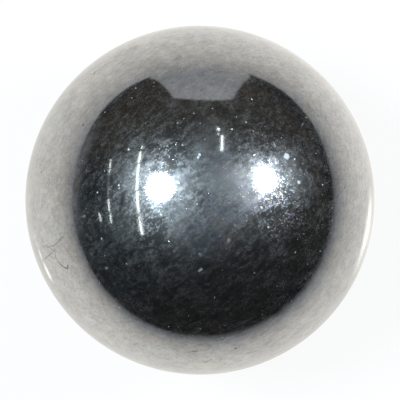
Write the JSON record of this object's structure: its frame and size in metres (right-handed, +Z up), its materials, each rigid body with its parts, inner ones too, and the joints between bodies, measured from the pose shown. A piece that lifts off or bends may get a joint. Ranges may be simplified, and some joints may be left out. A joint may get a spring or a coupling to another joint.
{
  "type": "steel ball",
  "caption": "Solid sphere of mirror-polished hardened steel that rolls in a race, seats in a valve or detent, or serves as a loose bench ball.",
  "frame": {"origin": "centre of the ball", "axes": "+Z up and -Z towards the seat that the ball lies in; the ball is the same about every axis"},
  "size_m": [0.0254, 0.0254, 0.0254],
  "materials": {
    "polished_steel": "polished"
  },
  "bodies": {
    "root": {"ball": "polished_steel"}
  },
  "joints": []
}
